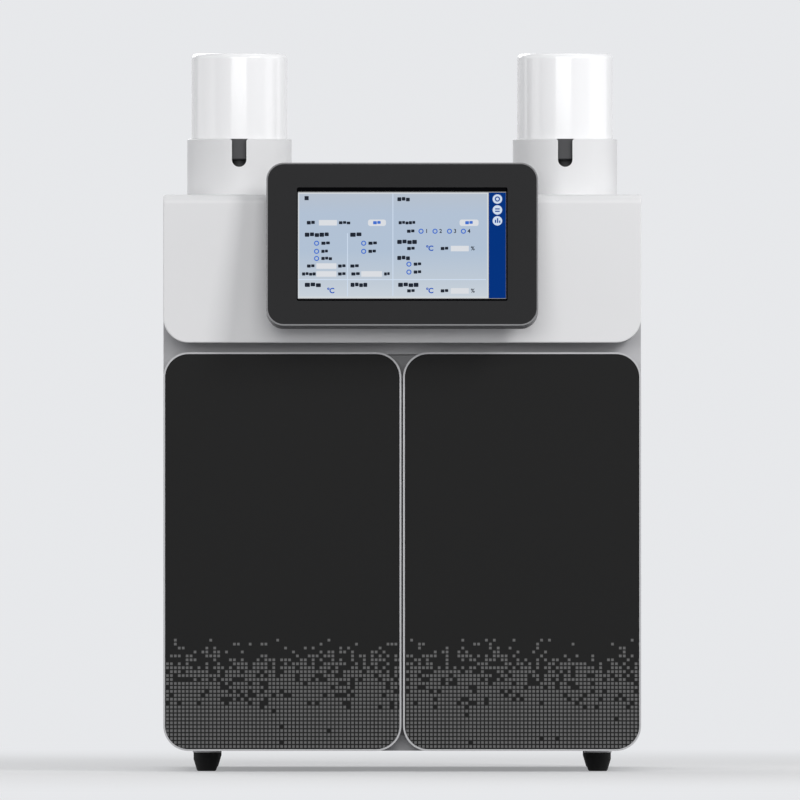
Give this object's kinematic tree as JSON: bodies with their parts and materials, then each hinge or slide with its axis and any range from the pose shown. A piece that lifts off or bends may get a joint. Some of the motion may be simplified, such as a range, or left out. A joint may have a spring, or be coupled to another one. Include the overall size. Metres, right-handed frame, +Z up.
{
  "type": "ion chromatograph",
  "caption": "Bench-top ion chromatograph: cabinet with dark hinged doors, overhanging head with a tilting touch display, and white electrolyte canisters in slotted collars.",
  "frame": {"origin": "on the bench, under the middle of the instrument", "axes": "+Z up; the doors and display face -Y; +X is towards the right door as seen from the front"},
  "size_m": [0.435, 0.488, 0.6545],
  "materials": {
    "cabinet_grey": "fine satin texture",
    "moulded_grey": "smooth satin",
    "door_rim": "satin",
    "door_panel": "semi-gloss with a printed fade of small squares",
    "bay_lining": "satin",
    "plated_steel": "zinc plated",
    "steel": "turned",
    "magnet": "nickel plated",
    "display_housing": "satin",
    "bezel": "satin black",
    "screen": "lit display",
    "canister_white": "high gloss",
    "canister_dark": "satin",
    "foot_rubber": "matte",
    "foot_ring": "satin",
    "pump_drive": "cast, painted",
    "purge_block": "machined",
    "knob": "satin",
    "degasser": "satin",
    "valve": "machined",
    "heater": "anodised",
    "clip": "satin",
    "peek": "satin natural polymer",
    "suppressor": "satin",
    "cell": "satin",
    "tube_red": "satin polymer",
    "tube_blue": "satin polymer",
    "supply": "sheet case",
    "board": "solder mask",
    "fan": "matte",
    "inlet": "matte",
    "rocker": "semi-gloss",
    "spigot": "satin"
  },
  "bodies": {
    "cabinet": {"body_wrap": "cabinet_grey", "top_cover": "cabinet_grey", "front_frame": "cabinet_grey", "head_fascia": "moulded_grey", "centre_post": "cabinet_grey", "chassis_shelf": "plated_steel", "chassis_floor": "plated_steel", "rear_panel": "cabinet_grey", "foot_front_left": "foot_rubber", "foot_front_right": "foot_rubber", "foot_rear_left": "foot_rubber", "foot_rear_right": "foot_rubber", "foot_rings": "foot_ring", "foot_screws": "plated_steel", "left_bay": "bay_lining", "right_bay": "bay_lining", "hinge_arms": "plated_steel", "left_canister_holder": "moulded_grey", "right_canister_holder": "moulded_grey", "left_canister_base": "canister_dark", "right_canister_base": "canister_dark", "left_canister_cover": "canister_white", "right_canister_cover": "canister_white", "display_bracket": "plated_steel", "pump_drive": "pump_drive", "primary_pump_head": "steel", "secondary_pump_head": "steel", "purge_valve_block": "purge_block", "degasser": "degasser", "injection_valve": "valve", "column_heater": "heater", "column_clips": "clip", "separation_column": "peek", "suppressor": "suppressor", "conductivity_cell": "cell", "finger_fittings": "peek", "pump_link_tube": "tube_blue", "column_inlet_tube": "tube_red", "column_outlet_tube": "tube_red", "cell_tube": "tube_blue", "power_supply": "supply", "main_board": "board", "fan_housing": "fan", "mains_inlet": "inlet", "drain_spigot": "spigot"},
    "left_door": {"left_door_frame": "door_rim", "left_door_panel": "door_panel", "left_door_magnets": "magnet", "left_hinge_pins": "steel"},
    "right_door": {"right_door_frame": "door_rim", "right_door_panel": "door_panel", "right_door_magnets": "magnet", "right_hinge_pins": "steel"},
    "display": {"display_shell": "display_housing", "display_bezel": "bezel", "lcd_panel": "screen", "display_pin": "steel"},
    "purge_knob": {"purge_valve_knob": "knob"},
    "fan_wheel": {"fan_rotor": "fan"},
    "switch_rocker": {"power_switch": "rocker"}
  },
  "joints": [
    {"name": "left_door_hinge", "type": "hinge", "parent": "cabinet", "child": "left_door", "pos_m": [-0.2095, -0.16529, 0.2005], "axis": [0, 0, -1], "range_deg": [0, 90]},
    {"name": "right_door_hinge", "type": "hinge", "parent": "cabinet", "child": "right_door", "pos_m": [0.2095, -0.16529, 0.2005], "axis": [0, 0, 1], "range_deg": [0, 90]},
    {"name": "display_tilt", "type": "hinge", "parent": "cabinet", "child": "display", "pos_m": [0, -0.20139, 0.475], "axis": [-1, 0, 0], "range_deg": [-10, 5]},
    {"name": "purge_knob_turn", "type": "hinge", "parent": "cabinet", "child": "purge_knob", "pos_m": [-0.06076, -0.10479, 0.24814], "axis": [0, -1, 0], "range_deg": [0, 270]},
    {"name": "fan_spin", "type": "hinge", "parent": "cabinet", "child": "fan_wheel", "pos_m": [-0.1044, 0.2165, 0.28284], "axis": [0, 1, 0], "continuous": true},
    {"name": "switch_rock", "type": "hinge", "parent": "cabinet", "child": "switch_rocker", "pos_m": [0.1485, 0.22755, 0.07708], "axis": [-1, 0, 0], "range_deg": [0, 8]}
  ]
}
